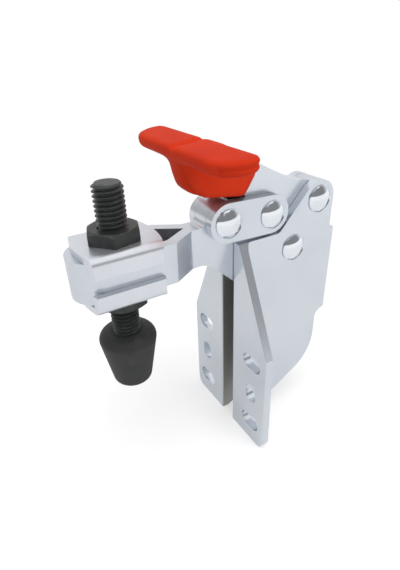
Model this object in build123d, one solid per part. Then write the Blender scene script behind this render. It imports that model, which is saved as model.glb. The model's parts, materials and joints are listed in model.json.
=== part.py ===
from build123d import *
import math
import os

# Toggle clamp on a vertical flanged base, in its clamped position.
# X runs forward along the arm to the spindle, Y is sideways, Z is up.
# The origin is on the mounting face of the two flanges, at the centre
# of the four sideways slots. Sizes are in millimetres.

# Sheet and strip stock
plate_t = 2.8
leaf_t = 3.1
link_t = 2.9
side_gap = 0.1
tang_half = leaf_t
inner_half = tang_half + side_gap
outer_half = inner_half + plate_t
link_outer = inner_half + link_t

# Pivot centres in the XZ plane, and what turns on them
handle_pivot = (-30.5, 60.1)
arm_pivot = (-21.2, 45.8)
front_pin = (3.55, 59.5)
rear_pin = (-12.0, 58.9)
eye_r = 5.95
arm_hub_r = 6.2
shank_r = 2.4
pin_fit = 0.05
bush_wall = 0.9
bush_seat_fit = 0.02
running_gap = 0.3
head_r = 4.35
head_h = 1.45

# The opened pivot: how far the rear pin wanders in the handle's slot
open_pin_run = 3.6
open_pin_rise = 1.35
open_pin_slack = 0.25

# Base plates
flange_half = 21.2
flange_corner_z = 17.9
flange_foot_z = -21.1
flange_foot_r = 3.4
plate_top_z = 52.0
bend_inner_r = 1.2
bend_outer_r = 0.5
slot_w = 5.3
slot_travel = 3.9
mid_slot_travel = 1.9
slot_y = 13.9
slot_pitch_z = 13.0
ear_r = 6.0
ear_front_fillet = 2.6
ear_front_slope = 48.0
tab_back_x = -39.6
tab_top_z = 48.4
tab_foot_z = 17.3
tab_seam = 0.1
tab_bend_r = 2.0
back_edge_x = -34.6
notch_r = 3.4
heel_r = 16.5
heel_slope = 31.0
toe_flat = 2.8

# Arm bars, taper and tang
bar_z0 = 47.1
bar_z1 = 58.8
bar_gap_half = 4.75
bar_outer_half = bar_gap_half + leaf_t
bar_front_x = 48.5
taper_rear_x = 14.0
taper_front_x = 21.5
bar_bend_r = 2.0
eye_fillet = 2.2
throat_x = 9.0
throat_r = 7.0
toe = (-1.2, 37.6)
toe_r = 5.0
heel_run = (-10.0, 36.4)

# Spindle, nuts and flanged washers
spindle_x = 35.1
spindle_r = 4.0
spindle_top_z = 75.6
spindle_chamfer = 0.6
hex_af = 13.0
nut_h = 3.5
washer_t = 2.0
washer_half_len = 11.1
washer_end_r = 28.0
washer_skirt = 3.5
washer_bend_r = 2.2
washer_fit = 0.06
washer_gap = 0.05
washer_half_w = bar_outer_half + washer_fit + washer_t
thread_clear = 0.35
nut_fit = 0.02

# Rubber cap
cap_top_z = 32.6
cap_foot_z = 14.4
cap_rim_r = 8.75
cap_foot_r = 5.6
cap_rim_round = 2.6
cap_foot_round = 2.0
cap_dish = 1.2
cap_socket = 12.0
cap_fit = 0.02

# Handle blade and moulded grip
blade_half = leaf_t
blade_neck_r = 3.0
wing_rear = (7.1, 82.65)
wing_front = (17.8, 81.55)
wing_t = 4.2
wing_half = 25.8
wing_rear_corner_r = 3.0
wing_front_corner_r = 7.4
wing_top_round = 1.0
wing_under_round = 1.9
wing_groove_r = 2.2
gusset_r = 3.4
gusset_rear_inset = 0.8
gusset_front_inset = 3.4
cover_half = 5.8
cover_foot = (-2.5, 65.75)
cover_front_x = 9.0
cover_round = 1.6
rib_half = 3.1


def soften(face, spot, radius):
    """The same flat face with its corner nearest to a spot rounded."""
    corner = face.vertices().sort_by_distance((*spot, 0))[0]
    return fillet(corner, radius)


def outline(*corners):
    """A closed (x, z) face; each corner is (x, z) or (x, z, fillet)."""
    face = make_face(Polyline(*[c[:2] for c in corners], close=True))
    for corner in corners:
        if len(corner) > 2:
            face = soften(face, corner[:2], corner[2])
    return face


def plate(face, y0, y1):
    """An (x, z) face made into a plate from y0 to y1."""
    return extrude(Plane.XZ.offset(-y1) * face, amount=y1 - y0)


def pin(centre, radius, y0, y1):
    """A round bar along Y about an (x, z) centre."""
    return plate(Pos(*centre) * Circle(radius), y0, y1)


def mirrored(solid):
    """The same piece on the other side of the clamp."""
    return mirror(solid, about=Plane.XZ)


def polar(centre, radius, degrees):
    """A point at an angle from an (x, z) centre."""
    a = math.radians(degrees)
    return centre[0] + radius * math.cos(a), centre[1] + radius * math.sin(a)


def side_wall():
    """The flat side of a base plate with its ear, rear tab and heel."""
    run = math.tan(math.radians(heel_slope))
    heel_z = flange_foot_z + (-toe_flat - back_edge_x) * run
    slope = math.tan(math.radians(ear_front_slope))
    tangent = polar(handle_pivot, ear_r, 90 - ear_front_slope)
    foot_x = tangent[0] + (tangent[1] - plate_top_z) / slope
    wall = outline(
        (0, flange_foot_z),
        (-toe_flat, flange_foot_z),
        (back_edge_x, heel_z, heel_r),
        (back_edge_x, tab_foot_z, notch_r),
        (tab_back_x, tab_foot_z, 0.8),
        (tab_back_x, tab_top_z, 0.6),
        (handle_pivot[0] - ear_r, tab_top_z, 0.6),
        (handle_pivot[0] - ear_r, handle_pivot[1]),
        tangent,
        (foot_x, plate_top_z, ear_front_fillet),
        (0, plate_top_z),
    )
    return wall + Pos(*handle_pivot) * Circle(ear_r)


def flange():
    """The front flange with its three slots, as a (y, z) face."""
    face = outline(
        (inner_half, flange_foot_z),
        (flange_half, flange_foot_z, flange_foot_r),
        (flange_half, flange_corner_z, 1.0),
        (outer_half, plate_top_z),
        (inner_half, plate_top_z),
    )
    sideways = SlotCenterToCenter(slot_travel, slot_w)
    upright = Rot(0, 0, 90) * SlotCenterToCenter(mid_slot_travel, slot_w)
    for row in (-1, 1):
        face -= Pos(slot_y, row * slot_pitch_z) * sideways
    return face - Pos(slot_y, 0) * upright


def base_plate():
    """One stamped plate: side wall, front flange and rear tab."""
    wall = plate(side_wall(), inner_half, outer_half)
    front = extrude(Plane.YZ.offset(-plate_t) * flange(), amount=plate_t)
    tab_h = tab_top_z - tab_foot_z
    tab = Pos(tab_back_x, tab_seam / 2, tab_foot_z) * Box(
        plate_t, outer_half - tab_seam / 2, tab_h, align=(Align.MIN, Align.MIN, Align.MIN)
    )
    body = wall + front + tab
    upright = body.edges().filter_by(Axis.Z)
    slit_edge = upright.sort_by_distance((0, inner_half, 0))[0]
    body = fillet(slit_edge, bend_outer_r)
    upright = body.edges().filter_by(Axis.Z)
    inner_edge = upright.sort_by_distance((-plate_t, outer_half, 0))[0]
    body = fillet(inner_edge, bend_inner_r)
    upright = body.edges().filter_by(Axis.Z)
    tab_edge = upright.sort_by_distance((tab_back_x, outer_half, (tab_top_z + tab_foot_z) / 2))[0]
    body = fillet(tab_edge, tab_bend_r)
    for centre in (handle_pivot, arm_pivot):
        body -= pin(centre, shank_r + pin_fit, 0, outer_half + 1)
    return body


def rivet(centre, reach):
    """A rivet through +-reach with a domed head at each end."""
    dome_r = (head_r**2 + head_h**2) / (2 * head_h)
    profile = make_face(
        [
            Line((0, 0), (shank_r, 0)),
            Line((shank_r, 0), (shank_r, reach)),
            Line((shank_r, reach), (head_r, reach)),
            RadiusArc((head_r, reach), (0, reach + head_h), -dome_r),
            Line((0, reach + head_h), (0, 0)),
        ]
    )
    half = revolve(profile, axis=Axis.Y)
    x, z = centre
    half = Pos(x, 0, z) * half
    return half + mirrored(half)


def bush(centre):
    """A bush that fills the tang's thickness around a rivet."""
    outer = pin(centre, shank_r + pin_fit + bush_wall, -tang_half, tang_half)
    return outer - pin(centre, shank_r + pin_fit, -tang_half, tang_half)


def bush_seat(centre):
    """The hole that a bush is pressed into."""
    seat_r = shank_r + pin_fit + bush_wall + bush_seat_fit
    return pin(centre, seat_r, -tang_half - 1, tang_half + 1)


def link(y0, y1):
    """A stadium shaped link plate between the front and rear pins."""
    span = (front_pin[0] - rear_pin[0], front_pin[1] - rear_pin[1])
    length = math.hypot(*span)
    middle = ((front_pin[0] + rear_pin[0]) / 2, (front_pin[1] + rear_pin[1]) / 2)
    tilt = math.degrees(math.atan2(span[1], span[0]))
    face = Pos(*middle) * Rot(0, 0, tilt) * SlotCenterToCenter(length, 2 * eye_r)
    for centre in (front_pin, rear_pin):
        face -= Pos(*centre) * Circle(shank_r + pin_fit)
    return plate(face, y0, y1)


def arm_bars():
    """The U-bar seen from above: round front end, two bars, taper."""
    nose_x = bar_front_x - bar_outer_half
    lean = math.atan2(bar_outer_half - tang_half, taper_front_x - taper_rear_x)
    skew = leaf_t * math.tan(lean / 2)
    inner_bend_x = taper_front_x + skew
    pinch_x = inner_bend_x - bar_gap_half / math.tan(lean)
    outer = outline(
        (taper_rear_x - 4, -tang_half),
        (taper_rear_x, -tang_half, bar_bend_r),
        (taper_front_x, -bar_outer_half, bar_bend_r),
        (nose_x, -bar_outer_half),
        (nose_x, bar_outer_half),
        (taper_front_x, bar_outer_half, bar_bend_r),
        (taper_rear_x, tang_half, bar_bend_r),
        (taper_rear_x - 4, tang_half),
    )
    inner = outline(
        (pinch_x, 0),
        (inner_bend_x, -bar_gap_half, bar_bend_r),
        (nose_x, -bar_gap_half),
        (nose_x, bar_gap_half),
        (inner_bend_x, bar_gap_half, bar_bend_r),
    )
    plan = outer + Pos(nose_x, 0) * Circle(bar_outer_half)
    plan -= inner + Pos(nose_x, 0) * Circle(bar_gap_half)
    return Pos(0, 0, bar_z0) * extrude(plan, amount=bar_z1 - bar_z0)


def tang():
    """The two pinched leaves: front eye, toe and hub on the arm pivot."""
    neck = eye_r + running_gap
    dip = polar(rear_pin, neck, -60)
    face = outline(
        (taper_rear_x, bar_z1),
        (front_pin[0], bar_z1),
        polar(front_pin, eye_r, 200),
        dip,
        polar(arm_pivot, arm_hub_r, 80),
        arm_pivot,
        polar(arm_pivot, arm_hub_r, 262),
        (*heel_run, 3.0),
        (*toe, toe_r),
        (throat_x, bar_z0, throat_r),
        (taper_rear_x, bar_z0),
    )
    face += Pos(*front_pin) * Circle(eye_r)
    face += Pos(*arm_pivot) * Circle(arm_hub_r)
    face -= Pos(*rear_pin) * Circle(neck)
    face = soften(face, (front_pin[0] + eye_r, bar_z1), eye_fillet)
    return plate(face, -tang_half, tang_half)


def clamping_arm():
    """The arm: one strip bent to a U and pinched into the tang."""
    body = arm_bars() + tang()
    return body - bush_seat(front_pin) - bush_seat(arm_pivot)


def washer(z, up):
    """A washer whose sides are bent over the bars; up is +1 or -1."""
    half_w = washer_half_w
    strip = Rectangle(4 * washer_half_len, 2 * half_w)
    ends = Pos(washer_half_len - washer_end_r, 0) * Circle(washer_end_r)
    plan = strip & ends & mirror(ends, about=Plane.YZ)
    block = extrude(plan, amount=washer_t + washer_skirt)
    edges = block.edges().filter_by(Axis.X).group_by(Axis.Z)[-1]
    block = fillet(edges, washer_bend_r)
    inside = half_w - washer_t
    hollow = Box(4 * washer_half_len, 2 * inside, washer_skirt, align=(Align.CENTER, Align.CENTER, Align.MIN))
    block -= hollow
    block -= Cylinder(spindle_r + thread_clear, 4 * washer_half_len)
    if up < 0:
        block = mirror(block, about=Plane.XY)
    return Pos(spindle_x, 0, z - up * washer_skirt) * block


def nut(z0, up):
    """A thin hexagon nut, chamfered on the face away from the washer."""
    hexagon = extrude(RegularPolygon(hex_af / 2, 6, major_radius=False), amount=nut_h)
    corner = hex_af / math.sqrt(3)
    drop = (corner - hex_af / 2 + 0.3) * math.tan(math.radians(30))
    cone = make_face(
        Polyline((0, 0), (corner + 1, 0), (corner + 1, nut_h - drop - 0.58), (hex_af / 2 - 0.3, nut_h), (0, nut_h), close=True)
    )
    body = hexagon & revolve(Plane.XZ * cone, axis=Axis.Z)
    body -= Cylinder(spindle_r + nut_fit, 4 * nut_h)
    if up < 0:
        body = mirror(body, about=Plane.XY)
    return Pos(spindle_x, 0, z0) * Rot(0, 0, 12) * body


def spindle():
    """The spindle at its thread's outer size, chamfered at the top."""
    foot = cap_top_z - cap_socket
    rod = Cylinder(spindle_r, spindle_top_z - foot, align=(Align.CENTER, Align.CENTER, Align.MIN))
    rod = chamfer(rod.edges().group_by(Axis.Z)[-1], spindle_chamfer)
    rod = chamfer(rod.edges().group_by(Axis.Z)[0], spindle_chamfer)
    return Pos(spindle_x, 0, foot) * rod


def rubber_cap():
    """The conical cap pushed on the spindle's lower end."""
    face = outline(
        (0, cap_foot_z),
        (cap_foot_r, cap_foot_z, cap_foot_round),
        (cap_rim_r, cap_top_z - cap_dish, cap_rim_round),
        (spindle_r + 1.0, cap_top_z),
        (0, cap_top_z),
    )
    body = revolve(Plane.XZ * face, axis=Axis.Z)
    foot = cap_top_z - cap_socket
    socket = Cylinder(spindle_r + cap_fit, cap_socket + 1, align=(Align.CENTER, Align.CENTER, Align.MIN))
    return Pos(spindle_x, 0, 0) * (body - Pos(0, 0, foot) * socket)


def blade_face():
    """The handle blade's outline, from the ears into the grip."""
    stop = eye_r + running_gap
    face = outline(
        handle_pivot,
        polar(handle_pivot, eye_r, 70),
        (-21.5, 67.2, 8.0),
        (-11.5, 72.3, 8.0),
        (1.0, 79.2, 3.0),
        (12.6, 78.0, 2.5),
        (13.4, 73.4, 3.0),
        (10.0, 69.4, 2.0),
        (-3.2, 66.9, blade_neck_r),
        (-6.3, 60.5),
        rear_pin,
        polar(rear_pin, eye_r, 265),
        polar(handle_pivot, eye_r, 275),
    )
    face += Pos(*handle_pivot) * Circle(eye_r)
    face += Pos(*rear_pin) * Circle(eye_r)
    return face - Pos(*front_pin) * Circle(stop)


def handle_lever():
    """The steel blade, with a bush seat and the slot of the open pivot."""
    body = plate(blade_face(), -blade_half, blade_half)
    hole_r = shank_r + open_pin_slack
    corner_r = hole_r * 0.95
    slot = outline(
        (rear_pin[0] - open_pin_run - hole_r, rear_pin[1] - hole_r, corner_r),
        (rear_pin[0] + hole_r, rear_pin[1] - hole_r, corner_r),
        (rear_pin[0] + hole_r, rear_pin[1] + hole_r + open_pin_rise, corner_r),
        (rear_pin[0] - open_pin_run - hole_r, rear_pin[1] + hole_r + open_pin_rise, corner_r),
    )
    return body - bush_seat(handle_pivot) - plate(slot, -2 * blade_half, 2 * blade_half)


def grip_cover():
    """The part of the grip that wraps the end of the blade."""
    face = outline(
        (*cover_foot, 1.5),
        (10.9, 67.8, 4.0),
        (15.2, 72.4, 4.0),
        (16.4, 80.4),
        (5.0, 80.8, 3.0),
        (-4.6, 77.0, 2.0),
        (-6.8, 72.4, 2.0),
    )
    body = plate(face, -cover_half, cover_half)
    rims = [f.edges() for f in body.faces().filter_by(Axis.Y)]
    foot_z = cover_foot[1] + cover_round
    low = [e for rim in rims for e in rim if e.center().X > cover_front_x or e.center().Z < foot_z]
    return fillet(low, cover_round)


def grip_rib():
    """The narrow rib in front of the cover."""
    face = outline(
        (6.0, 72.0),
        (8.0, 68.6),
        (12.6, 68.5, 2.0),
        (15.6, 71.2, 4.0),
        (17.4, 80.6),
        (6.0, 81.0),
    )
    return plate(face, -rib_half, rib_half)


def wing_frame():
    """The tilted frame on top of the wings, its X towards the front."""
    run = wing_front[0] - wing_rear[0]
    fall = wing_front[1] - wing_rear[1]
    forward = Vector(run, 0, fall).normalized()
    up = forward.cross(Vector(0, 1, 0))
    return Plane(origin=(wing_rear[0], 0, wing_rear[1]), x_dir=forward, z_dir=up)


def grip_wings():
    """The two wings of the T handle with the groove between them."""
    chord = math.dist(wing_rear, wing_front)
    plan = outline(
        (0, -wing_half, wing_rear_corner_r),
        (chord, -wing_half, wing_front_corner_r),
        (chord, wing_half, wing_front_corner_r),
        (0, wing_half, wing_rear_corner_r),
    )
    slab = extrude(plan, amount=-wing_t)
    slab = fillet(slab.faces().sort_by(Axis.Z)[-1].edges(), wing_top_round)
    slab = fillet(slab.faces().sort_by(Axis.Z)[0].edges(), wing_under_round)
    across = Plane(origin=(0, 0, 0), x_dir=(0, 1, 0), z_dir=(1, 0, 0))
    r = wing_groove_r
    groove = Pos(0, -r / 2 + 0.5) * Rectangle(2 * r, r + 1)
    groove -= Pos(r, -r) * Circle(r) + Pos(-r, -r) * Circle(r)
    top = extrude(across * groove, amount=chord + 1) + extrude(across * groove, amount=-1)
    slab -= top
    root = cover_half + gusset_r
    web = Pos(0, -(wing_t + gusset_r) / 2) * Rectangle(2 * root, gusset_r)
    for side in (-1, 1):
        web -= Pos(side * root, -wing_t - gusset_r) * Circle(gusset_r)
    webs = across.offset(gusset_rear_inset) * web
    slab += extrude(webs, amount=chord - gusset_rear_inset - gusset_front_inset)
    return wing_frame() * slab


def handle_grip():
    """The moulded grip: cover, rib and wings around the blade's end."""
    body = grip_cover() + grip_rib() + grip_wings()
    return body - handle_lever()


def write(name, solid):
    """One STEP file per piece, named after the piece."""
    solid.label = name
    export_step(solid, f"parts/{name}.step")


os.makedirs("parts", exist_ok=True)
near = base_plate()
write("base_plate_left", near)
write("base_plate_right", mirrored(near))
write("arm_pivot_rivet", rivet(arm_pivot, outer_half))
write("handle_pivot_rivet", rivet(handle_pivot, outer_half))
write("front_link_rivet", rivet(front_pin, link_outer))
write("rear_link_rivet", rivet(rear_pin, link_outer))
write("arm_pivot_bush", bush(arm_pivot))
write("handle_pivot_bush", bush(handle_pivot))
write("front_link_bush", bush(front_pin))
write("link_left", link(inner_half, link_outer))
write("link_right", link(-link_outer, -inner_half))
write("clamping_arm", clamping_arm())
write("upper_flanged_washer", washer(bar_z1 + washer_gap, 1))
write("lower_flanged_washer", washer(bar_z0 - washer_gap, -1))
write("upper_nut", nut(bar_z1 + washer_gap + washer_t, 1))
write("lower_nut", nut(bar_z0 - washer_gap - washer_t, -1))
write("spindle", spindle())
write("rubber_cap", rubber_cap())
write("handle_lever", handle_lever())
write("handle_grip", handle_grip())
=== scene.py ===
# %% [markdown]
# # A riveted toggle clamp, dressed for its picture
# The clamp comes in as a finished frame: every plate, rivet and washer is already where it belongs.
# What is left for Blender is what the eye reads as real: the thread on the spindle, the round
# heads of the rivets, the finish of each metal, the rubber and the moulded handle, and the light.

# %% Load the frame and measure it
import json
import math
import bmesh
import bpy
import numpy as np
from mathutils import Matrix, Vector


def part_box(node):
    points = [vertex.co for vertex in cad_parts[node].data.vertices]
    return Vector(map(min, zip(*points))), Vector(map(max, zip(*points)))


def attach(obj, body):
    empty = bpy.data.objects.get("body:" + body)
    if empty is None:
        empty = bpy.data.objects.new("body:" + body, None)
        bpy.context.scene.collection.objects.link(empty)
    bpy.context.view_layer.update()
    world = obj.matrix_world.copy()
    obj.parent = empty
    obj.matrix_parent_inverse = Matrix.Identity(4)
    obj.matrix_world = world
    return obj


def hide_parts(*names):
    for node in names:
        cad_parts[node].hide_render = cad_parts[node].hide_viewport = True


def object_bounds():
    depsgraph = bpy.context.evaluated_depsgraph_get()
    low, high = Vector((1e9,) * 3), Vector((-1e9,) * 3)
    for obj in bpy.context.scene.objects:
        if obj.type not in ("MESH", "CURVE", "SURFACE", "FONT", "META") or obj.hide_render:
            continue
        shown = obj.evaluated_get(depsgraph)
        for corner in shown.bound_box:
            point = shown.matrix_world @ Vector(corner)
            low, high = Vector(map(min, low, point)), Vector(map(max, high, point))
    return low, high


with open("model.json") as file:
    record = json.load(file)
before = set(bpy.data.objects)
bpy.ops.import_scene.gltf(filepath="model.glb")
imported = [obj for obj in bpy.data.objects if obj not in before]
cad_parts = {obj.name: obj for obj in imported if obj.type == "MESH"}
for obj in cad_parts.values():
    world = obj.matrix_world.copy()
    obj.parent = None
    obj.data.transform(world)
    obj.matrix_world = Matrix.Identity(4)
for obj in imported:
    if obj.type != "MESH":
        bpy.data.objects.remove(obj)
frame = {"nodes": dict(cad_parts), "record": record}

MM = 0.001
cad_box = [list(corner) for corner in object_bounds()]
nodes = frame["nodes"]


def in_mm(box):
    """The corners of a box, turned from metres to millimetres."""
    return [[round(value / MM, 1) for value in corner] for corner in box]


print("nodes", len(nodes), "box in mm", in_mm(cad_box))

# %% [markdown]
# ## The camera
# A product picture is taken from a little above, near enough that the front of the clamp looks
# bigger than its back. The camera could be aimed by hand until the picture fits, but the square
# edges of the plates give its place, its three directions and its lens at once, so they were
# solved from those edges and are only written down here.

# %% Camera
CAMERA_PLACE = (66.82, 100.17, 105.18)
CAMERA_RIGHT = (-0.86099, 0.50763, -0.03161)
CAMERA_UP = (-0.27712, -0.41611, 0.86606)
CAMERA_BACK = (0.42649, 0.75443, 0.49894)
LENS_MM = 38.76
SENSOR_MM = 36
NEAREST_SEEN = 0.005
FARTHEST_SEEN = 20

axes = Matrix((CAMERA_RIGHT, CAMERA_UP, CAMERA_BACK)).transposed().to_4x4()
lens = bpy.data.cameras.new("camera")
lens.sensor_fit = "HORIZONTAL"
lens.sensor_width = SENSOR_MM
lens.lens = LENS_MM
lens.clip_start = NEAREST_SEEN
lens.clip_end = FARTHEST_SEEN
camera = bpy.data.objects.new("camera", lens)
camera.matrix_world = Matrix.Translation([v * MM for v in CAMERA_PLACE]) @ axes
bpy.context.scene.collection.objects.link(camera)
bpy.context.scene.camera = camera
print("camera", [round(v, 3) for v in camera.matrix_world.translation])

# %% [markdown]
# ## Shader maths as plain sums
# A node tree is only arithmetic on numbers that change over a surface. One small class wraps a
# socket, so that `1 - mask` or `grain * 0.2` adds its own Math node. Colours and directions go
# through Mix and Vector Math instead, because a Math node would turn a colour grey.

# %% A socket that can be added, multiplied and mixed


class Wire:
    """A socket of a node tree, on which + - and * add Math nodes."""

    def __init__(self, tree, socket):
        self.tree = tree
        self.socket = socket

    def node(self, kind, settings=None, out=0, **values):
        """Adds a node: its settings first, then a value or a link for each socket.

        A socket is called by its name, with _ for a space, or by its number as i0, i1 and so on.
        """
        made = self.tree.nodes.new(kind)
        for name, value in (settings or {}).items():
            setattr(made, name, value)
        for name, value in values.items():
            socket = int(name[1:]) if name[1:].isdigit() else name.replace("_", " ")
            self.feed(made.inputs[socket], value)
        return Wire(self.tree, made.outputs[out])

    def feed(self, socket, value):
        """Links a wire to the socket, or sets a plain value on it."""
        if isinstance(value, Wire):
            self.tree.links.new(value.socket, socket)
        else:
            socket.default_value = value

    def math(self, operation, a, b=0.0):
        """One Math node."""
        return self.node("ShaderNodeMath", {"operation": operation}, i0=a, i1=b)

    def __add__(self, other):
        return self.math("ADD", self, other)

    def __radd__(self, other):
        return self.math("ADD", other, self)

    def __sub__(self, other):
        return self.math("SUBTRACT", self, other)

    def __rsub__(self, other):
        return self.math("SUBTRACT", other, self)

    def __mul__(self, other):
        return self.math("MULTIPLY", self, other)

    def __rmul__(self, other):
        return self.math("MULTIPLY", other, self)

    def axis(self, name):
        """The X, Y or Z of a place or a direction."""
        return self.node("ShaderNodeSeparateXYZ", out=name, Vector=self)

    def clamp(self):
        """Keeps the value between 0 and 1."""
        return self.node("ShaderNodeClamp", Value=self)

    def step(self, low, high):
        """Rises smoothly from 0 at low to 1 at high."""
        return self.node(
            "ShaderNodeMapRange",
            {"interpolation_type": "SMOOTHSTEP"},
            Value=self,
            From_Min=low,
            From_Max=high,
        )

    def between(self, first, second):
        """Mixes two colours: the first where this value is 0, the second where it is 1."""
        return self.node(
            "ShaderNodeMix",
            {"data_type": "RGBA"},
            out=2,
            i0=self,
            i6=first if isinstance(first, Wire) else (*first, 1),
            i7=second if isinstance(second, Wire) else (*second, 1),
        )


print("sockets can be added and multiplied")

# %% [markdown]
# ## One start for every finish
# Each finish starts from the same Principled shader and the same place to measure from: the
# piece's own Object coordinates, in metres. A grain of a tenth of a millimetre is then a noise
# with a scale of thousands, the same size on every piece. A painted picture would need the
# surface unfolded first, and would blur close up, so the finishes are all noise and sums.

# %% A new finish, its grain and its surface relief


def finish(name, colour, roughness, metallic=0.0):
    """A material, its Principled shader and a wire of the piece's own coordinates."""
    material = bpy.data.materials.new(name)
    material.use_nodes = True
    tree = material.node_tree
    shader = tree.nodes["Principled BSDF"]
    shader.inputs["Base Color"].default_value = (*colour, 1)
    shader.inputs["Roughness"].default_value = roughness
    shader.inputs["Metallic"].default_value = metallic
    place = Wire(tree, tree.nodes.new("ShaderNodeTexCoord").outputs["Object"])
    return material, shader, place


def grain(place, scale, detail, stretch=None):
    """Noise round 0.5 at that scale, drawn out along an axis where stretch is given."""
    if stretch:
        place = place.node("ShaderNodeMapping", Vector=place, Scale=stretch)
    return place.node("ShaderNodeTexNoise", Vector=place, Scale=scale, Detail=detail)


def relief(shader, height, depth, strength):
    """Bends the shading by a height of that many metres."""
    bump = height.node("ShaderNodeBump", Height=height, Distance=depth, Strength=strength)
    bump.feed(shader.inputs["Normal"], bump)


print("finishes start from one shader")

# %% [markdown]
# ## Painted shade between the plates
# The facing sides of two plates that stand this close get little light, so the slit is painted
# a dark grey there as painted shade, and made duller. This could be a second material on those
# faces, but the plates come in as loose triangles. A mask on the coordinates finds them too:
# near the middle plane and below the arm. The middle of the rear tabs lies there as well, so
# the painted shade shows on them from behind.

# %% A mask for the painted shade between the plates
# The darker grey painted in the slit between the plates as painted shade.
SLIT_SHADE_COLOUR = (0.46, 0.465, 0.455)
SLIT_ROUGHENS = 0.2
WALL_INSIDE = (0.00325, 0.00355)
SLIT_SHADE_TOP = (0.036, 0.042)


def slit_shade_mask(place):
    """1 where y is within WALL_INSIDE of the middle and z below SLIT_SHADE_TOP, and 0 elsewhere."""
    across = place.axis("Y")
    outside = across.math("ABSOLUTE", across).step(*WALL_INSIDE)
    above = place.axis("Z").step(*SLIT_SHADE_TOP)
    return (1 - outside) * (1 - above)


print("film up to", round(SLIT_SHADE_TOP[0] / MM, 1), "mm")

# %% [markdown]
# ## Zinc-plated steel
# The plates, links, arm and blade are stamped from strip and zinc-plated: pale, slightly blue and
# nearly a mirror, but a soft one. Close up it shows the rolled strip's fine lines and faint
# cloudy patches from the bath. One function makes it twice, because the washers are a little
# paler and duller and their strip was rolled the other way.

# %% Plated steel and washer steel
ZINC_METALLIC = 0.82
LINE_SCALE = 900.0
CLOUD_SCALE = 55.0
SPECK_SCALE = 2600.0
CLOUD_EDGE = (0.35, 0.7)
LINES_ROUGHEN = 0.07
CLOUDS_ROUGHEN = 0.04
SMOOTHEST = 0.05
ROLLED_RELIEF = 0.000012
ALONG_X = (0.12, 1, 1)
ALONG_Z = (1, 1, 0.12)


def plated(name, colour, cloud, roughness, rolled):
    """Colour by clouds and the slit's painted shade; roughness is a base plus lines, clouds and
    slit in shares.
    """
    material, shader, place = finish(name, colour, roughness, ZINC_METALLIC)
    lines = grain(place, LINE_SCALE, 3.0, rolled)
    clouds = grain(place, CLOUD_SCALE, 3.0).step(*CLOUD_EDGE)
    specks = grain(place, SPECK_SCALE, 2.0)
    slit_shade = slit_shade_mask(place)
    clean = clouds.between(colour, cloud)
    # Painted shade: where the mask is 1, between the plates, the colour turns a darker grey.
    place.feed(shader.inputs["Base Color"], slit_shade.between(clean, SLIT_SHADE_COLOUR))
    rough = roughness - SMOOTHEST + lines * LINES_ROUGHEN + clouds * CLOUDS_ROUGHEN
    place.feed(shader.inputs["Roughness"], rough + slit_shade * SLIT_ROUGHENS)
    relief(shader, lines * 0.7 + specks * 0.3, ROLLED_RELIEF, 0.5)
    return material


plate_steel = plated("plate_steel", (0.69, 0.73, 0.785), (0.65, 0.69, 0.75), 0.24, ALONG_Z)
washer_steel = plated("washer_steel", (0.74, 0.77, 0.82), (0.70, 0.73, 0.785), 0.34, ALONG_X)
print("plated", plate_steel.name, washer_steel.name)

# %% [markdown]
# ## Bright rivets and plain bushes
# A rivet's head is pressed in a polished die, so it is the brightest part of the clamp, with only
# a breath of haze and fine scratches. The bushes hide inside the joints: plain turned steel,
# duller and rougher. Both come from one function, with only the numbers changed.

# %% Rivet steel and bush steel
HAZE_SCALE = 160.0
HAZE_EDGE = (0.4, 0.75)
HAZE_ROUGHENS = 0.05
HAZE_DARKENS = 0.94
SCRATCH_RELIEF = 0.000006


def bright(name, colour, roughness, scratch_scale):
    """Colour and roughness each go from clean to hazed by a smooth mask of haze."""
    material, shader, place = finish(name, colour, roughness, 1.0)
    scratches = grain(place, scratch_scale, 5.0)
    haze = grain(place, HAZE_SCALE, 2.0).step(*HAZE_EDGE)
    hazed = [value * HAZE_DARKENS for value in colour]
    place.feed(shader.inputs["Roughness"], roughness + haze * HAZE_ROUGHENS)
    place.feed(shader.inputs["Base Color"], haze.between(colour, hazed))
    relief(shader, scratches, SCRATCH_RELIEF, 0.4)
    return material


rivet_steel = bright("rivet_steel", (0.79, 0.825, 0.87), 0.06, 1500.0)
bush_steel = bright("bush_steel", (0.55, 0.56, 0.58), 0.25, 2200.0)
print("bright", rivet_steel.name, bush_steel.name)

# %% [markdown]
# ## Black oxide steel
# The nuts and the spindle are blackened: a thin matt skin that turns a little brown-grey where
# the spanner rubs it. The thread is given a touch paler colour than the nuts. Rod and
# nuts share this one finish, and the distance from the spindle's axis tells them apart.

# %% Black steel
NUT_COLOURS = (0.033, 0.037, 0.037), (0.066, 0.067, 0.063)
THREAD_COLOURS = (0.046, 0.051, 0.050), (0.078, 0.080, 0.076)
THREAD_EDGE = (0.00402, 0.00406)

black_steel, shader, place = finish("black_steel", NUT_COLOURS[0], 0.42, 0.35)
spindle_low, spindle_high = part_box("spindle")
spindle_x = (spindle_low.x + spindle_high.x) / 2
beside, across = place.axis("X") - spindle_x, place.axis("Y")
on_thread = 1 - place.math("SQRT", beside * beside + across * across).step(*THREAD_EDGE)
rubbed = grain(place, 420.0, 4.0).step(0.45, 0.8)
pits = grain(place, 3200.0, 2.0)
colour = on_thread.between(rubbed.between(*NUT_COLOURS), rubbed.between(*THREAD_COLOURS))
place.feed(shader.inputs["Base Color"], colour)
place.feed(shader.inputs["Roughness"], 0.36 + pits * 0.16)
relief(shader, pits, 0.00002, 0.6)
print("blackened", black_steel.name, "axis at", round(spindle_x / MM, 1), "mm")

# %% [markdown]
# ## Rubber
# The cap is moulded rubber: dark, dry, with a very fine matt skin, a little dusty in patches
# where it has been pressed on wood and metal. A flat dark colour would look like a hole in the
# picture, so dust and skin both change the colour or the shine a little.

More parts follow.
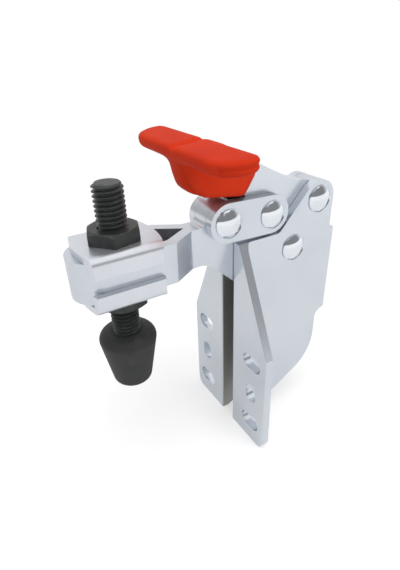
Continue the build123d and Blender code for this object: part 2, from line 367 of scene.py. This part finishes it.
# %% Black rubber
black_rubber, shader, place = finish("black_rubber", (0.030, 0.031, 0.032), 0.62)
dust = grain(place, 190.0, 4.0).step(0.5, 0.85)
pores = grain(place, 4200.0, 3.0)
colour = dust.between((0.024, 0.025, 0.026), (0.048, 0.048, 0.047))
place.feed(shader.inputs["Base Color"], colour)
place.feed(shader.inputs["Roughness"], 0.55 + pores * 0.15 + dust * 0.06)
relief(shader, pores, 0.00003, 0.6)
print("rubber", black_rubber.name)

# %% [markdown]
# ## The red handle
# The handle is moulded over the blade in a tough orange-red plastic. The mould was spark
# eroded, so the skin has an even fine grain, and the colour is a touch deeper where the plastic
# flowed last. Its shine is kept very low, because a shine of white room turns red into pink.

# %% Red moulded plastic
red_grip, shader, place = finish("red_grip", (0.72, 0.046, 0.015), 0.5)
flow = grain(place, 60.0, 3.0).step(0.35, 0.75)
eroded = grain(place, 2400.0, 3.0)
colour = flow.between((0.75, 0.050, 0.016), (0.68, 0.040, 0.014))
place.feed(shader.inputs["Base Color"], colour)
place.feed(shader.inputs["Roughness"], 0.44 + eroded * 0.12)
relief(shader, eroded, 0.00003, 0.6)
shader.inputs["Specular IOR Level"].default_value = 0.02
print("moulded", red_grip.name)

# %% [markdown]
# ## Give each piece its finish
# The record names a finish for each node. So one table leads from that name to the finish and
# another to the nodes that wear it, and a piece that is added later needs one more word. Nothing
# on the frame is moved.

# %% Finish the frame's own pieces
finishes = {
    "plate_steel": plate_steel,
    "washer_steel": washer_steel,
    "rivet_steel": rivet_steel,
    "bush_steel": bush_steel,
    "black_steel": black_steel,
    "black_rubber": black_rubber,
    "red_grip": red_grip,
}
worn_by = {
    "plate_steel": (
        "base_plate_left", "base_plate_right",
        "link_left", "link_right",
        "clamping_arm", "handle_lever",
    ),
    "washer_steel": ("upper_flanged_washer", "lower_flanged_washer"),
    "rivet_steel": (
        "arm_pivot_rivet", "handle_pivot_rivet", "front_link_rivet", "rear_link_rivet",
    ),
    "bush_steel": ("arm_pivot_bush", "handle_pivot_bush", "front_link_bush"),
    "black_steel": ("upper_nut", "lower_nut", "spindle"),
    "black_rubber": ("rubber_cap",),
    "red_grip": ("handle_grip",),
}
for slot_name, names in worn_by.items():
    for name in names:
        mesh = nodes[name].data
        mesh.materials.clear()
        mesh.materials.append(finishes[slot_name])
print("finished", sum(len(names) for names in worn_by.values()), "nodes")

# %% [markdown]
# ## Surfaces from two numbers
# A turned or threaded piece is a grid: one number goes round the axis and the other along it. The
# corners are worked out all at once with numpy and the faces are read off the grid in one go. At
# both ends the grid shrinks to one point, so the points that lie on one another are welded.

# %% A grid becomes a mesh
SAME_POINT = 1e-7
SHARP_OVER = math.radians(40)


def weld(mesh):
    """Welds the points that lie on one another, which closes the ends, and turns faces outwards."""
    work = bmesh.new()
    work.from_mesh(mesh)
    bmesh.ops.remove_doubles(work, verts=work.verts, dist=SAME_POINT)
    bmesh.ops.recalc_face_normals(work, faces=work.faces)
    work.to_mesh(mesh)
    work.free()


def grid_piece(name, points, material):
    """A mesh from points[along, around], closed around.

    A face joins point (i, j), its neighbour around (i, j + 1) and the same two one row further.
    """
    rows, turns, _ = points.shape
    i, j = np.meshgrid(np.arange(rows - 1), np.arange(turns), indexing="ij")
    here, beyond, k = i * turns, (i + 1) * turns, (j + 1) % turns
    quads = np.stack([here + j, here + k, beyond + k, beyond + j], -1)
    mesh = bpy.data.meshes.new(name)
    mesh.from_pydata(points.reshape(-1, 3).tolist(), [], quads.reshape(-1, 4).tolist())
    piece = bpy.data.objects.new(name, mesh)
    bpy.context.scene.collection.objects.link(piece)
    weld(mesh)
    mesh.materials.append(material)
    mesh.shade_smooth()
    mesh.set_sharp_from_angle(angle=SHARP_OVER)
    return piece


def full_turn(count):
    """That many angles evenly round a circle, as one row."""
    return np.linspace(0, 2 * math.pi, count, endpoint=False)[None, :]


print("grids can become pieces")

# %% [markdown]
# ## The threaded spindle
# The spindle is an M8 screw with a pitch of 1.25 mm. A thread is a groove that climbs as it goes
# round, so the radius depends only on height over pitch less the turn. The tooth has flats at
# crest and root and straight flanks between, and a chamfer cuts it off at both ends. Cutting a
# helix in CAD would give thousands of faces for the same look, so it is made here.

# %% Spindle with its thread
PITCH = 1.25
THREAD_R = 4.0
THREAD_DEPTH = 0.70 * PITCH
CREST_END = 0.10
ROOT_START = 0.80
ENDS_CHAMFER = 0.75


def thread_radius(height, turn):
    """Crest radius less depth times a trapezium of (height / pitch - turn)."""
    phase = np.abs(((height / PITCH - turn) % 1.0) * 2 - 1)
    tooth = np.clip((phase - CREST_END) / (ROOT_START - CREST_END), 0, 1)
    return THREAD_R - THREAD_DEPTH * tooth


def threaded_rod(bottom, top, centre_x, around=56, per_pitch=14):
    """Rows of points up the rod: radius as the thread, held inside a cone at both ends."""
    steps = int(round((top - bottom) / PITCH * per_pitch))
    height = np.linspace(bottom, top, steps + 1)[:, None]
    angle = full_turn(around)
    radius = thread_radius(height - bottom, angle / (2 * math.pi))
    from_end = np.minimum(height - bottom, top - height)
    radius = np.minimum(radius, THREAD_R - ENDS_CHAMFER + from_end)
    ring = np.stack([radius * np.cos(angle), radius * np.sin(angle), height + 0 * angle], -1)
    pole = np.zeros((1, around, 3))
    points = np.concatenate([pole + (0, 0, bottom), ring, pole + (0, 0, top)])
    return (points + (centre_x, 0, 0)) * MM


thread = grid_piece(
    "threaded_spindle",
    threaded_rod(spindle_low.z / MM, spindle_high.z / MM, spindle_x / MM),
    black_steel,
)
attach(thread, "spindle")
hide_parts("spindle")
spindle_length = (spindle_high.z - spindle_low.z) / MM
print("thread", len(thread.data.vertices), "points over", round(spindle_length, 1), "mm")

# %% [markdown]
# ## Rivets with turned heads
# A polished dome shows every facet as a broken reflection. So each rivet is turned again as a fine
# profile: the shank, a rolled rim, and a dome that is an arc of a circle. Finer CAD domes would do
# too, but they would make every check of the frame slower. The profile is carried round the pin's
# axis, which lies along Y.

# %% Four rivets
HEAD_R = 4.35
HEAD_RISE = 1.45
SHANK_R = 2.4
RIM_ROLL = 0.28
RIM_ROWS = 9
RIM_TURN = math.radians(22)
DOME_ROWS = 28
DOME_CROWDING = 0.8
DOME_INSET = 0.12


def head_profile(seat):
    """Radius and distance along the pin: a rolled rim, then an arc with a rise of HEAD_RISE.

    The arc's circle has radius (head radius squared + rise squared) / (2 * rise).
    """
    sphere = (HEAD_R**2 + HEAD_RISE**2) / (2 * HEAD_RISE)
    turn = np.linspace(-math.pi / 2, RIM_TURN, RIM_ROWS)
    rim_r = HEAD_R - RIM_ROLL + RIM_ROLL * np.cos(turn)
    rim_y = seat + RIM_ROLL + RIM_ROLL * np.sin(turn)
    out = np.linspace(1, 0, DOME_ROWS) ** DOME_CROWDING * (rim_r[-1] - DOME_INSET)
    rise = np.sqrt(sphere**2 - out**2) - sphere + HEAD_RISE
    return np.concatenate([rim_r, out]), np.concatenate([rim_y, seat + np.maximum(rise, 0.0)])


def turned_rivet(name, body, around=96):
    """Both heads and the shank as one profile carried round the pin's axis."""
    low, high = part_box(name)
    centre = (low + high) / 2 / MM
    seat = high.y / MM - HEAD_RISE
    head_r, head_y = head_profile(seat)
    radius = np.concatenate([head_r[::-1], [SHANK_R, SHANK_R], head_r])[:, None]
    along = np.concatenate([-head_y[::-1], [-seat, seat], head_y])[:, None]
    angle = full_turn(around)
    points = np.stack([radius * np.cos(angle), along + 0 * angle, radius * np.sin(angle)], -1)
    piece = grid_piece(name + "_turned", (points + (centre.x, 0, centre.z)) * MM, rivet_steel)
    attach(piece, body)
    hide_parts(name)
    return piece


bodies = frame["record"]["behaviour"]["bodies"]
rivets = [
    turned_rivet(name, next(body for body, members in bodies.items() if name in members))
    for name in worn_by["rivet_steel"]
]
print("rivets", [len(piece.data.polygons) for piece in rivets])

# %% [markdown]
# ## A ridge along the cover's back
# The handle's cover closes over the blade's back edge, but the CAD solid is only a few tenths of a
# millimetre thick there, too thin for the next step. A low ridge is laid over the place. It is a
# side face with five corners carried straight across, because it ends up inside the skin's curves.

# %% A low ridge over the blade's back
RIDGE_HALF = 4.6
RIDGE_FACE = ((-5.4, 76.6), (4.4, 81.3), (9.0, 81.3), (9.0, 79.0), (-4.0, 75.5))


def ridge_mesh():
    """The ridge's side face carried across Y from -RIDGE_HALF to RIDGE_HALF."""
    side = np.array(RIDGE_FACE)
    count = len(side)
    y = np.repeat((-RIDGE_HALF, RIDGE_HALF), count)
    points = np.column_stack([np.tile(side[:, 0], 2), y, np.tile(side[:, 1], 2)]) * MM
    i = np.arange(count)
    k = (i + 1) % count
    around = np.column_stack([i, k, k + count, i + count]).tolist()
    mesh = bpy.data.meshes.new("ridge")
    mesh.from_pydata(points.tolist(), [], around + [i.tolist(), (i[::-1] + count).tolist()])
    return mesh


print("ridge", len(RIDGE_FACE), "corners")

# %% [markdown]
# ## An even skin for the handle
# A moulded handle has no machined edges: every corner is rounded and the wings flow into the cover
# below them. Rounding each edge in CAD is slow and fragile. So a copy of the CAD solid and the
# ridge are rebuilt as one skin of small even cells, which can be smoothed and pressed anywhere.

# %% An even skin over a copy of the solid
SKIN_CELL = 0.36
SAME_CORNER = 1e-6


def even_skin(node, extra, name):
    """A copy of a CAD node, welded, joined with extra and rebuilt on a grid of small cells."""
    work = bmesh.new()
    work.from_mesh(nodes[node].data)
    bmesh.ops.remove_doubles(work, verts=work.verts, dist=SAME_CORNER)
    work.from_mesh(extra)
    bmesh.ops.recalc_face_normals(work, faces=work.faces)
    mesh = bpy.data.meshes.new(name)
    work.to_mesh(mesh)
    work.free()
    piece = bpy.data.objects.new(name, mesh)
    bpy.context.scene.collection.objects.link(piece)
    cells = piece.modifiers.new("skin", "REMESH")
    cells.mode = "VOXEL"
    cells.voxel_size = SKIN_CELL * MM
    graph = bpy.context.evaluated_depsgraph_get()
    rebuilt = bpy.data.meshes.new_from_object(piece.evaluated_get(graph))
    piece.modifiers.clear()
    piece.data = rebuilt
    rebuilt.name = name
    return piece


handle = even_skin("handle_grip", ridge_mesh(), "moulded_handle")
skin = handle.data
print("skin", len(skin.vertices), "points")

# %% [markdown]
# ## Relax the skin
# A stretched film evens out its own corners: each point is drawn towards its neighbours. The same
# sum, done sixty times, rounds the handle. It pulls with full weight where the wings meet the
# cover and with a third of it elsewhere. A smoothing modifier would pull the same everywhere.

# %% Each point drawn towards its neighbours
WING_REAR = (7.1, 82.65)
WING_FRONT = (17.8, 81.55)
RELAX_PASSES = 60
RELAX_WEIGHT = 0.35
JOINT_STARTS = (2.2, 4.2)
JOINT_ENDS = (9.0, 12.0)


def read_rows(items, field, width, kind=float):
    """One field of all points or edges as rows of an array."""
    flat = np.empty(len(items) * width, kind)
    items.foreach_get(field, flat)
    return flat.reshape(-1, width)


def smooth_step(value, low, high):
    """0 below low, 1 above high, and 3 t squared - 2 t cubed between them."""
    t = np.clip((value - low) / (high - low), 0, 1)
    return t * t * (3 - 2 * t)


def below_top(points):
    """How far each point lies under the tilted plane on top of the wings."""
    slope = (WING_FRONT[1] - WING_REAR[1]) / (WING_FRONT[0] - WING_REAR[0])
    return WING_REAR[1] + slope * (points[:, 0] - WING_REAR[0]) - points[:, 2]


def relax(points, edges, weight, passes):
    """Each pass moves a point half way, times its weight, to the mean of its neighbours."""
    a, b = edges[:, 0], edges[:, 1]
    count = np.bincount(np.concatenate([a, b]), minlength=len(points))[:, None]
    for _ in range(passes):
        total = np.zeros_like(points)
        for axis in range(3):
            total[:, axis] = np.bincount(a, points[b, axis], len(points))
            total[:, axis] += np.bincount(b, points[a, axis], len(points))
        points = points + 0.5 * weight[:, None] * (total / count - points)
    return points


points = read_rows(skin.vertices, "co", 3) / MM
depth = below_top(points)
joint = smooth_step(depth, *JOINT_STARTS) * (1 - smooth_step(depth, *JOINT_ENDS))
weight = RELAX_WEIGHT + (1 - RELAX_WEIGHT) * joint
edges = read_rows(skin.edges, "vertices", 2, np.int32)
points = relax(points, edges, weight, RELAX_PASSES)
skin.vertices.foreach_set("co", (points * MM).ravel())
skin.update()
print("relaxed", len(points), "points, height", round(float(np.ptp(points[:, 2])), 1), "mm")

# %% [markdown]
# ## Press in the fine lines
# Where the halves of a mould meet, and where one part of its hollow was set into another, a fine
# line stays on the plastic: here round each wing's end, with a hook down its front, and beside the
# rib. Each line is a groove whose depth falls off like a bell on both sides. The points are moved
# inwards by it, which catches the light better than a line that is only drawn.

# %% Creases at the wings' ends and beside the rib
CREASE_BELOW = 1.9
CREASE_WIDTH = 0.55
CREASE_DEPTH = 0.45
HOOK_FROM_MIDDLE = 21.2
HOOK_LEAN = 0.55
HOOK_STARTS = (-0.3, 0.3)
HOOK_ENDS = (3.0, 4.0)
RIB_HALF = 3.5
RIB_WIDTH = 0.45
RIB_DEPTH = 0.6
RIB_STARTS = (3.6, 4.8)
LEANS_OVER = (0.5, 0.8)
FACES_FRONT = (0.1, 0.5)


def groove(distance, width):
    """A bell: e to the power of -(distance / width) squared."""
    return np.exp(-((distance / width) ** 2))


normals = read_rows(skin.vertices, "normal", 3)
across, depth = np.abs(points[:, 1]), below_top(points)
under = depth - CREASE_BELOW
upright = 1 - smooth_step(np.abs(normals[:, 2]), *LEANS_OVER)
round_end = groove(under, CREASE_WIDTH) * (across > HOOK_FROM_MIDDLE)
hook = groove(across - (HOOK_FROM_MIDDLE + HOOK_LEAN * under), CREASE_WIDTH)
hook *= smooth_step(under, *HOOK_STARTS) * (1 - smooth_step(under, *HOOK_ENDS))
hook *= normals[:, 0] > 0
beside_rib = groove(across - RIB_HALF, RIB_WIDTH)
beside_rib *= smooth_step(normals[:, 0], *FACES_FRONT) * smooth_step(depth, *RIB_STARTS)
pressed = CREASE_DEPTH * np.maximum(round_end, hook) * upright + RIB_DEPTH * beside_rib
points = points - normals * pressed[:, None]
skin.vertices.foreach_set("co", (points * MM).ravel())
print("pressed", int((pressed > 0.05).sum()), "points, deepest", round(float(pressed.max()), 2))

# %% [markdown]
# ## The handle takes its place
# The new skin wears the red plastic, turns with the handle and stands for the CAD solid in the
# picture. The solid stays in the frame, where its weight and its shape are measured.

# %% Moulded handle
skin.shade_smooth()
skin.materials.clear()
skin.materials.append(red_grip)
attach(handle, "handle")
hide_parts("handle_grip")
print("handle", len(skin.polygons), "faces")

# %% [markdown]
# ## Floor
# The clamp stands on a plain pale floor that fades into the white room. A plain white floor would
# look grey far away, because it only gives back the light that falls on it. So it glows a little
# for the camera and in mirrors, and it turns clear between 16 and 42 cm from the middle.

# %% Floor
FLOOR_HALF = 4.0
FLOOR_GAP = 0.00002
FLOOR_GREY = 0.8
GLOW_SEEN = 0.42
GLOW_MIRRORED = 0.24
FADES_OUT = (0.16, 0.42)

floor_z = cad_box[0][2] - FLOOR_GAP
floor_mesh = bpy.data.meshes.new("floor")
corners = np.array([[-1, -1], [1, -1], [1, 1], [-1, 1]]) * FLOOR_HALF
floor_mesh.from_pydata([(x, y, floor_z) for x, y in corners.tolist()], [], [(0, 1, 2, 3)])
floor = bpy.data.objects.new("floor", floor_mesh)
bpy.context.scene.collection.objects.link(floor)

pale_floor, shader, place = finish("pale_floor", (FLOOR_GREY,) * 3, 0.9)
shader.inputs["Specular IOR Level"].default_value = 0.0
seen = place.node("ShaderNodeLightPath", out="Is Camera Ray")
mirrored = place.node("ShaderNodeLightPath", out="Is Glossy Ray")
glow = (seen * GLOW_SEEN + mirrored * GLOW_MIRRORED).clamp()
place.feed(shader.inputs["Emission Color"], glow.between((0, 0, 0), (1, 1, 1)))
shader.inputs["Emission Strength"].default_value = 1.0
distance = place.node("ShaderNodeVectorMath", {"operation": "LENGTH"}, out="Value", i0=place)
place.feed(shader.inputs["Alpha"], 1 - distance.step(*FADES_OUT))
floor_mesh.materials.append(pale_floor)
print("floor at", round(floor_z / MM, 2), "mm")

# %% [markdown]
# ## Light of the room
# The camera sees a white room. A mirror in an all-white room shows nothing, so shiny metal sees
# something else: white above, and below it a grey wall with an uneven top, darker on the camera's
# side. That is what gives the domes and bends their dark bands, as studio walls do. A photographed
# room would do it too, but sums are smaller and can be tuned one by one.

# %% Room light
ROOM_WHITE = 1.06
ROOM_DIFFUSE = 0.5
WALL_GREY = 0.18
DARK_SIDE_GREY = 0.62
DARK_SIDE = (0.62, 0.78, 0.0)
DARK_SIDE_EDGE = (-0.6, 0.0)
WALL_FOOT = (0.0, 0.02)
WALL_TOP = (0.52, 0.60)
WALL_WAVES = 0.45
WALL_DROP = 0.22

world = bpy.data.worlds.new("room")
bpy.context.scene.world = world
world.use_nodes = True
tree = world.node_tree
direction = Wire(tree, tree.nodes.new("ShaderNodeTexCoord").outputs["Generated"])
height = direction.axis("Z")
skyline = height + WALL_WAVES * grain(direction, 3.5, 1.0) - WALL_DROP
wall = height.step(*WALL_FOOT) * (1 - skyline.step(*WALL_TOP))
towards = direction.node(
    "ShaderNodeVectorMath", {"operation": "DOT_PRODUCT"}, out="Value", i0=direction, i1=DARK_SIDE
)
room = ROOM_WHITE - wall * (WALL_GREY + DARK_SIDE_GREY * towards.step(*DARK_SIDE_EDGE))
camera_ray, glossy_ray, through_ray = (
    direction.node("ShaderNodeLightPath", out=kind)
    for kind in ("Is Camera Ray", "Is Glossy Ray", "Is Transmission Ray")
)
white = (camera_ray + through_ray).clamp()
level = white + (1 - white) * (glossy_ray * room + (1 - glossy_ray) * ROOM_DIFFUSE)
sky = tree.nodes["Background"]
sky.inputs["Color"].default_value = (1.0, 1.0, 1.0, 1)
level.feed(sky.inputs["Strength"], level)
print("room of", len(tree.nodes), "nodes")

# %% [markdown]
# ## Lamps
# Three large square lamps add what the room alone can't: a soft direction, strongest from above.
# They are large so that shadows have no hard edge, and metal doesn't see them, because their
# square shape in a dome would look like a window.

# %% Three soft lamps
LAMP_AIM = (0.0, 0.0, 0.03)
LAMPS = {
    "top_lamp": ((0.05, 0.15, 0.75), 0.5, 2.0),
    "side_lamp": ((-0.35, 0.65, 0.35), 0.4, 1.15),
    "front_lamp": ((0.7, 0.1, 0.35), 0.4, 0.2),
}


def unit(vector):
    """The vector divided by its length."""
    return vector / np.linalg.norm(vector)


def soft_lamp(name, stand, size, power):
    """A square lamp at stand that faces LAMP_AIM: its back points from the aim to the stand."""
    light = bpy.data.lights.new(name, "AREA")
    light.size = size
    light.energy = power
    lamp = bpy.data.objects.new(name, light)
    lamp.visible_glossy = False
    back = unit(np.array(stand) - np.array(LAMP_AIM))
    right = unit(np.cross((0, 0, 1.0), back))
    turn = Matrix((right, np.cross(back, right), back)).transposed().to_4x4()
    lamp.matrix_world = Matrix.Translation(stand) @ turn
    bpy.context.scene.collection.objects.link(lamp)


for name, (stand, size, power) in LAMPS.items():
    soft_lamp(name, stand, size, power)
print("lamps", list(LAMPS))

# %% [markdown]
# The colours are shown as they are, with no filmic look.

# %% Finish
bpy.context.scene.view_settings.view_transform = "Standard"
